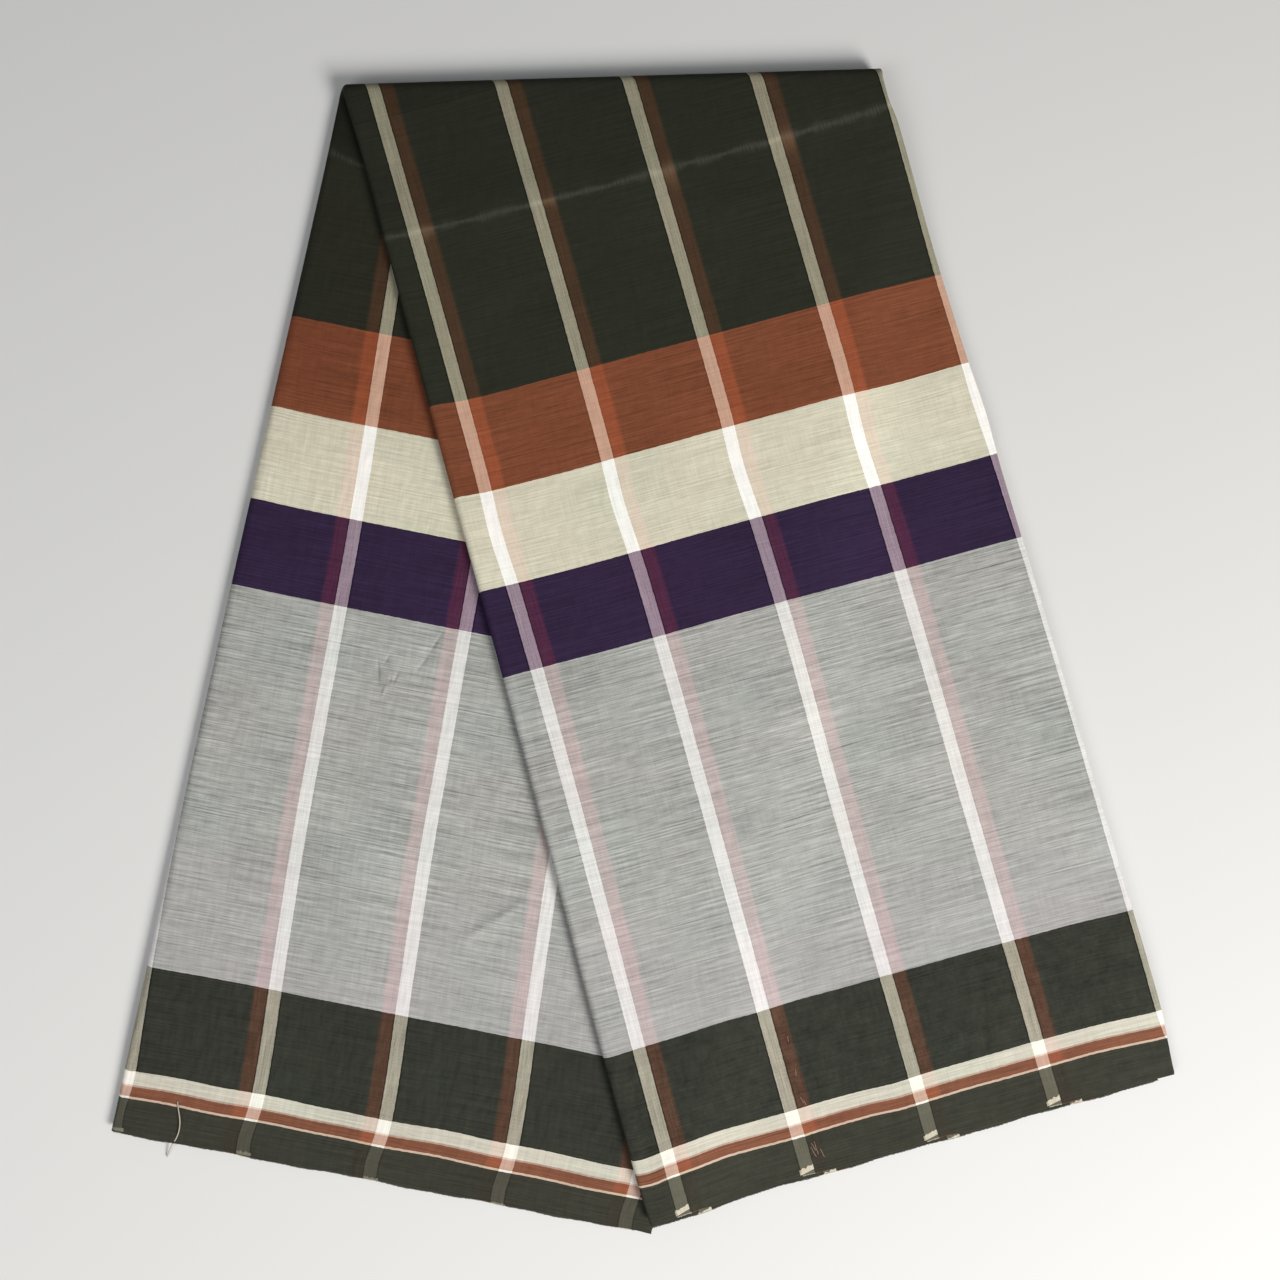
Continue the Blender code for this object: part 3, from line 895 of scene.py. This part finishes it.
def shown_section(station, edge_in):
    """The line across a ply that shows, from the middle of the left roll."""
    turn = station.height(station.width) / PLIES
    flat_end = station.width - edge_in - turn
    line = []
    for degrees in ROLL_ANGLES:
        angle = math.radians(degrees)
        a = station.reach * (1.0 - math.sin(angle))
        way = station.reach - roll_length(station) * degrees / 90.0
        line.append((a, station.roll * (1.0 - math.cos(angle)), way))
    columns = round(FOLD_LINE.width / SEEN_STEP)
    for i in range(1, columns + 1):
        a = station.reach + (flat_end - station.reach) * i / columns
        line.append((a, 0.0, a))
    return line + turned_under(flat_end, 0.0, turn, LIP)


def cloth_sheets(name, sheets, material):
    """Makes cloth walls from grids of points on their outer faces and the cloth measures at each."""
    corners = []
    faces = []
    places = []
    for points, measures, flip in sheets:
        rows = len(points)
        columns = len(points[0])
        outer = np.array(points, dtype=np.float64).reshape(-1, 3) * MM
        grid = np.arange(rows * columns).reshape(rows, columns)
        quads = np.stack([grid[:-1, :-1], grid[:-1, 1:], grid[1:, 1:], grid[1:, :-1]], -1).reshape(-1, 4)
        if flip:
            quads = quads[:, ::-1]
        face_sheet = bpy.data.meshes.new(name)
        face_sheet.from_pydata(outer.tolist(), [], quads.tolist())
        face_sheet.update()
        normals = np.zeros(len(outer) * 3)
        face_sheet.vertices.foreach_get("normal", normals)
        bpy.data.meshes.remove(face_sheet)
        inner = outer - normals.reshape(-1, 3) * CLOTH * MM
        border = np.concatenate([grid[0, :], grid[1:, -1], grid[-1, -2::-1], grid[-2:0:-1, 0]])
        after = np.roll(border, -1)
        count = rows * columns
        rim = np.stack([border, border + count, after + count, after], -1)
        if flip:
            rim = rim[:, ::-1]
        first = sum(len(part) for part in corners)
        corners += [outer, inner]
        faces.append(np.concatenate([quads, quads[:, ::-1] + count, rim]) + first)
        place = np.array(measures, dtype=np.float64).reshape(-1, 2) * MM
        places += [place, place]

    all_faces = np.concatenate(faces)
    mesh = bpy.data.meshes.new(name)
    mesh.from_pydata(np.concatenate(corners).tolist(), [], all_faces.tolist())
    mesh.update()
    uv = mesh.uv_layers.new(name="cloth")
    uv.data.foreach_set("uv", np.concatenate(places)[all_faces.ravel()].ravel())
    mesh.materials.append(material)
    mesh.shade_smooth()
    mesh.set_sharp_from_angle(angle=math.radians(SHARP_ANGLE))
    piece = bpy.data.objects.new(name, mesh)
    scene.collection.objects.link(piece)
    return piece


def shown_ply(name, side):
    """One of the two plies that show, over the whole strip."""
    ends = named(PLY_END_COLUMNS, PLY_ENDS[side])
    steps = (SEEN_STEP, HIDDEN_STEP) if side == "outer" else (HIDDEN_STEP, SEEN_STEP)
    points = []
    measures = []
    for station in strip_stations(*steps, ends["right_end_in"], ends["left_end_in"], ends["ragged"]):
        line = shown_section(station, ends["edge_in"])
        row = []
        for a, depth, _ in line:
            row.append(station.place(a, station.height(a) - depth if side == "outer" else depth))
        points.append(row)
        measures.append([cloth_at(station, way, side) for _, _, way in line])
    return cloth_sheets(name, [(points, measures, side == "inner")], plaid)


right_wing_cloth = shown_ply("right_wing_cloth", "outer")
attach(right_wing_cloth, "root")
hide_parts("right_wing_ply")
left_wing_cloth = shown_ply("left_wing_cloth", "inner")
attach(left_wing_cloth, "root")
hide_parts("left_wing_ply")

# --- The plies between them ----------------------------------------------------------------------------
# Six plies of the same cloth. The second and the seventh are the turned-under ends of those that show,
# and the other four are two pairs, each with its turn at the right edge. They shift at the selvages.
PLY_GAP = 0.08
LEAF_STEP = 8.0
LEAF_LIP = 2.0
LEAF_COLUMNS = ("top", "under", "edge_in", "right_end_in", "left_end_in", "shift", "ragged")
LEAVES = (
    (0.89, None, 9.5, 0.2, 1.0, -10.5, 1.9),
    (0.74, 0.51, 0.3, 0.9, 2.2, 27.0, 4.1),
    (0.49, 0.26, 0.8, 1.6, 1.5, 41.0, 5.3),
    (0.18, None, 9.5, 2.2, 0.9, 5.0, 0.2),
)


def leaf_section(station, top, under, edge_in):
    """The line across one leaf at its share of the height: flat, or folded at the right edge."""
    height = station.height(station.width / 2.0)
    flat_end = station.width - edge_in
    line = []
    columns = round(FOLD_LINE.width / LEAF_STEP)

    def left_end(share):
        """How far in the leaf has to start to stay inside the left roll."""
        off = (2.0 * share - 1.0) * station.roll / (station.roll - CLOTH - PLY_GAP)
        return station.reach - (station.reach - CLOTH - PLY_GAP) * math.sqrt(max(0.0, 1.0 - off * off))

    start = left_end(top)
    turn = 0.0 if under is None else (top - under) * height / 2.0
    flat_end -= turn
    for i in range(columns + 1):
        a = start + (flat_end - start) * i / columns
        line.append((a, (1.0 - top) * station.height(a), a))
    if under is not None:
        back = left_end(under)
        line += turned_under(flat_end, line[-1][1], turn, LEAF_LIP)
        for i in range(1, columns + 1):
            a = flat_end - LEAF_LIP + (back - flat_end + LEAF_LIP) * i / columns
            line.append((a, (1.0 - under) * station.height(a), 2.0 * flat_end - a))
    return line


def layered(name):
    """All the leaves, each a wall of cloth that follows the strip."""
    sheets = []
    for row in LEAVES:
        leaf = named(LEAF_COLUMNS, row)
        points = []
        measures = []
        ends = (leaf["right_end_in"], leaf["left_end_in"], leaf["ragged"])
        for station in strip_stations(LEAF_STEP, LEAF_STEP, *ends):
            line = leaf_section(station, leaf["top"], leaf["under"], leaf["edge_in"])
            points.append([station.place(a, station.height(a) - depth) for a, depth, _ in line])
            placed = []
            for _, _, way in line:
                across, along = cloth_at(station, way, "outer")
                if station.angle is None:
                    along = (1.0 - station.t) * math.dist(*FOLD_TO_FOOT)
                placed.append((across + leaf["shift"], along))
            measures.append(placed)
        sheets.append((points, measures, False))
    return cloth_sheets(name, sheets, plaid)


layered_plies = layered("layered_plies")
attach(layered_plies, "root")
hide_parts("hidden_layers")

# --- The turns of the weft -----------------------------------------------------------------------------
# Along each selvage that shows, the weft comes out of the cloth, turns and goes back in at every second
# pick, in the colour of its stripe. The white weft is the thickest.
TURN_PITCH = 0.8
TURN_RADIUS = 0.28
TURN_STEPS = 6
TURN_SIZES = (0.75, 1.3)  # the smallest and the largest, against that radius
TURN_SEED = 4
TURN_ROOM = 9.0  # from the right edge, where the ply turns under
YARN_RADIUS = 0.15
YARN_SIDES = 5
YARN_GLOSS = 0.1
YARN_ROUGHNESS = 0.88
FUZZ_SCALE = 2600.0  # grains of its noise in a metre
FUZZ_SHADE = 0.7
FUZZ_ROUGHNESS = 0.1
FUZZ_BUMP = 0.4
YARN_COLUMNS = ("name", "size", "color")
YARNS = (
    ("white", 1.5, (0.46, 0.42, 0.33, 1.0)),
    ("rust", 1.0, (0.17, 0.075, 0.045, 1.0)),
    ("olive", 1.0, (0.062, 0.06, 0.045, 1.0)),
)
SELVAGE_COLUMNS = ("sheet", "wing", "end_in", "ragged", "depth", "shift", "side")
SELVAGES = (
    ("right_wing", "right_wing", 2.0, 0.7, 0.0, 0.0, "outer"),
    ("right_wing", "right_wing", 0.2, 1.9, 0.11, -10.5, "outer"),
    ("left_wing", "left_wing", 0.2, 2.9, 0.0, 0.0, "inner"),
)


def yarn_finish(name, color):
    """Twisted cotton yarn of one colour."""
    yarn = Finish(name)
    place = yarn.node("ShaderNodeTexCoord", None, None, "Object")
    fuzz = yarn.node("ShaderNodeTexNoise", None, {"Vector": place, "Scale": FUZZ_SCALE}) - 0.5
    shade = 1.0 + fuzz * FUZZ_SHADE
    bump = {"Strength": FUZZ_BUMP, "Distance": BUMP_DEPTH, "Height": fuzz}
    return yarn.finished(
        base_color=yarn.shaded(color, shade),
        roughness=YARN_ROUGHNESS + fuzz * FUZZ_ROUGHNESS,
        normal=yarn.node("ShaderNodeBump", None, bump),
        specular_ior_level=YARN_GLOSS,
    )


def turn_tree():
    """Geometry Nodes: half rings of yarn side by side along each line, open towards the cloth."""
    tree = bpy.data.node_groups.new("weft_turns", "GeometryNodeTree")
    wiring = Wiring(tree)
    tree.interface.new_socket("Line", in_out="INPUT", socket_type="NodeSocketGeometry")
    for name in ("Pitch", "Turn Radius", "Yarn Radius"):
        tree.interface.new_socket(name, in_out="INPUT", socket_type="NodeSocketFloat")
    tree.interface.new_socket("Yarn", in_out="INPUT", socket_type="NodeSocketMaterial")
    tree.interface.new_socket("Turns", in_out="OUTPUT", socket_type="NodeSocketGeometry")
    start = wiring.node("NodeGroupInput").socket.node
    given = {socket.name: Value(wiring, socket) for socket in start.outputs if socket.name}

    points = wiring.node(
        "GeometryNodeResampleCurve", {"mode": "LENGTH"}, {"Curve": given["Line"], "Length": given["Pitch"]}
    )
    half = {"Start Angle": math.pi, "Sweep Angle": math.pi}
    arc = {"Resolution": TURN_STEPS, "Radius": given["Turn Radius"], **half}
    half_ring = wiring.node("GeometryNodeCurveArc", {"mode": "RADIUS"}, arc)
    circle = {"Resolution": YARN_SIDES, "Radius": given["Yarn Radius"]}
    yarn_round = wiring.node("GeometryNodeCurvePrimitiveCircle", None, circle)
    turn = wiring.node(
        "GeometryNodeCurveToMesh", None, {"Curve": half_ring, "Profile Curve": yarn_round, "Fill Caps": True}
    )
    tangent = wiring.node("GeometryNodeInputTangent")
    facing = wiring.node("FunctionNodeAlignRotationToVector", {"axis": "X"}, {"Vector": tangent})
    smallest, largest = TURN_SIZES
    sizes = {2: smallest, 3: largest, "Seed": TURN_SEED}
    size = wiring.node("FunctionNodeRandomValue", {"data_type": "FLOAT"}, sizes, 1)
    placing = {"Points": points, "Instance": turn, "Rotation": facing, "Scale": size}
    placed = wiring.node("GeometryNodeInstanceOnPoints", None, placing)
    real = wiring.node("GeometryNodeRealizeInstances", None, {"Geometry": placed})
    turns = wiring.node("GeometryNodeSetMaterial", None, {"Geometry": real, "Material": given["Yarn"]})
    wiring.node("NodeGroupOutput", None, {"Turns": turns})
    return tree


def selvage_lines(selvage):
    """The lines along one selvage, each with the name of the weft that turns there."""
    station = Station(selvage["wing"], 1.0).inset(selvage["end_in"], selvage["ragged"])
    lines = []
    a = station.reach
    while a < station.width - TURN_ROOM:
        depth = selvage["depth"] * station.height(a) + CLOTH / 2.0
        h = station.height(a) - depth if selvage["wing"] == "right_wing" else depth
        across, _ = cloth_at(station, a, selvage["side"])
        on_stripe = (across + selvage["shift"]) % STRIPE_PITCH
        yarn = [name for name, from_start in WEFT_STRIPES if on_stripe >= from_start][-1]
        point = [v * MM for v in station.place(a, h)]
        if not lines or lines[-1][0] != yarn:
            lines.append((yarn, []))
        lines[-1][1].append(point)
        a += TURN_PITCH
    return [line for line in lines if len(line[1]) > 1]


def line_curve(name, lines):
    """A curve object with one straight-run spline for each line of points."""
    curve = bpy.data.curves.new(name, "CURVE")
    curve.dimensions = "3D"
    for points in lines:
        spline = curve.splines.new("POLY")
        spline.points.add(len(points) - 1)
        spline.points.foreach_set("co", [v for point in points for v in (*point, 1.0)])
    line = bpy.data.objects.new(name, curve)
    scene.collection.objects.link(line)
    return line


def plain_mesh(line, name):
    """Turns an evaluated curve into a mesh piece of its own, and removes the curve."""
    evaluated = line.evaluated_get(bpy.context.evaluated_depsgraph_get())
    mesh = bpy.data.meshes.new_from_object(evaluated)
    mesh.name = name
    mesh.shade_smooth()
    bpy.data.objects.remove(line)
    piece = bpy.data.objects.new(name, mesh)
    scene.collection.objects.link(piece)
    return piece


weft_turns = turn_tree()
turns_on = {"right_wing": [], "left_wing": []}
yarns = {}
for row in YARNS:
    yarn = named(YARN_COLUMNS, row)
    yarns[yarn["name"]] = yarn_finish(yarn["name"] + "_yarn", yarn["color"])
    for sheet in turns_on:
        lines = []
        for selvage_row in SELVAGES:
            selvage = named(SELVAGE_COLUMNS, selvage_row)
            if selvage["sheet"] == sheet:
                lines += [points for name, points in selvage_lines(selvage) if name == yarn["name"]]
        name = sheet + "_" + yarn["name"] + "_turns"
        line = line_curve(name + "_line", lines)
        modifier = line.modifiers.new("weft_turns", "NODES")
        modifier.node_group = weft_turns
        inputs = {
            "Pitch": TURN_PITCH * MM,
            "Turn Radius": TURN_RADIUS * MM,
            "Yarn Radius": YARN_RADIUS * yarn["size"] * MM,
            "Yarn": yarns[yarn["name"]],
        }
        for socket in weft_turns.interface.items_tree:
            if socket.name in inputs:
                modifier[socket.identifier] = inputs[socket.name]
        turns = plain_mesh(line, name)
        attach(turns, "root")
        turns_on[sheet].append(turns)

# --- Loose threads -------------------------------------------------------------------------------------
# A cut end of white weft hangs from the left wing's selvage onto the floor, with a small knot where it
# comes out. Fine rust wefts are snagged near the right wing's foot and stand out of it in short loops.
THREAD_BEVEL = 2  # which gives a thread eight sides
THREAD_ORDER = 3
THREAD_STEPS = 4
WHITE_THREAD_RADIUS = 0.32
WHITE_THREAD = (
    (-233.8, -233.5, 4.4),
    (-233.3, -236.3, 4.9),
    (-232.2, -241.2, 5.2),
    (-232.1, -245.1, 5.0),
    (-232.9, -249.2, 4.6),
    (-235.0, -253.3, 3.8),
    (-236.4, -254.9, 2.9),
    (-238.5, -258.3, 1.2),
    (-239.9, -262.2, 0.4),
)
RUST_THREAD_RADIUS = 0.12
PULLED_COLOR = (0.44, 0.27, 0.21, 1.0)
PULLED_FOOT = 4.4  # how far the strip goes on past the bands' zero
PULLED_STEP = 0.7
PULLED_LIFT = (0.8, 1.5)  # in radii, at a thread's ends and how much more at its middle
PULLED_COLUMNS = ("from_across", "from_along", "to_across", "to_along", "wave", "waves")
PULLED = (
    (76.2, 69.5, 76.0, 66.8, 0.05, 1.0),
    (75.4, 52.0, 75.1, 48.6, 0.06, 1.0),
    (74.0, 37.5, 74.9, 34.0, 0.06, 1.0),
    (75.3, 35.5, 75.8, 32.6, 0.05, 1.0),
    (74.6, 13.4, 74.9, 6.4, 0.1, 1.5),
    (72.2, 11.2, 73.6, 5.6, 0.1, 1.2),
    (73.0, 13.0, 74.3, 8.8, 0.06, 1.0),
    (76.6, 9.0, 77.6, 4.4, 0.08, 1.0),
)


def thread(name, lines, radius, material):
    """A piece of fine round thread along each line of points."""
    line = line_curve(name + "_line", [[[v * MM for v in point] for point in points] for points in lines])
    for spline in line.data.splines:
        spline.type = "NURBS"
        spline.order_u = THREAD_ORDER
        spline.use_endpoint_u = True
        spline.resolution_u = THREAD_STEPS
    line.data.bevel_depth = radius * MM
    line.data.bevel_resolution = THREAD_BEVEL
    line.data.use_fill_caps = True
    line.data.materials.append(material)
    piece = plain_mesh(line, name)
    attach(piece, "root")
    return piece


def on_right_wing(across, along):
    """The station and the way across it where the right wing's cloth has these measures."""
    station = Station("right_wing", 1.0 - (along + PULLED_FOOT) / math.dist(*FOLD_TO_FOOT))
    start, _ = lay_on("right_wing", *station.left)
    return station, (across - start) / named(LAY_COLUMNS, LAYS["right_wing"])["across_scale"]


pulled_lines = []
for row in PULLED:
    pulled = named(PULLED_COLUMNS, row)
    points = []
    steps = round(abs(pulled["to_along"] - pulled["from_along"]) / PULLED_STEP)
    for i in range(steps + 1):
        share = i / steps
        across = pulled["from_across"] + (pulled["to_across"] - pulled["from_across"]) * share
        across += pulled["wave"] * math.sin(2.0 * math.pi * pulled["waves"] * share)
        along = pulled["from_along"] + (pulled["to_along"] - pulled["from_along"]) * share
        station, a = on_right_wing(across, along)
        lift = RUST_THREAD_RADIUS * (PULLED_LIFT[0] + PULLED_LIFT[1] * math.sin(math.pi * share))
        points.append(station.place(a, station.height(a) + lift))
    pulled_lines.append(points)
pulled_yarn = yarn_finish("pulled_yarn", PULLED_COLOR)
white_lines = [WHITE_THREAD, WHITE_THREAD[:2]]  # its start is doubled, as a knot
white_thread = thread("loose_white_thread", white_lines, WHITE_THREAD_RADIUS, yarns["white"])
rust_threads = thread("pulled_rust_threads", pulled_lines, RUST_THREAD_RADIUS, pulled_yarn)
turns_on["left_wing"].append(white_thread)
turns_on["right_wing"].append(rust_threads)
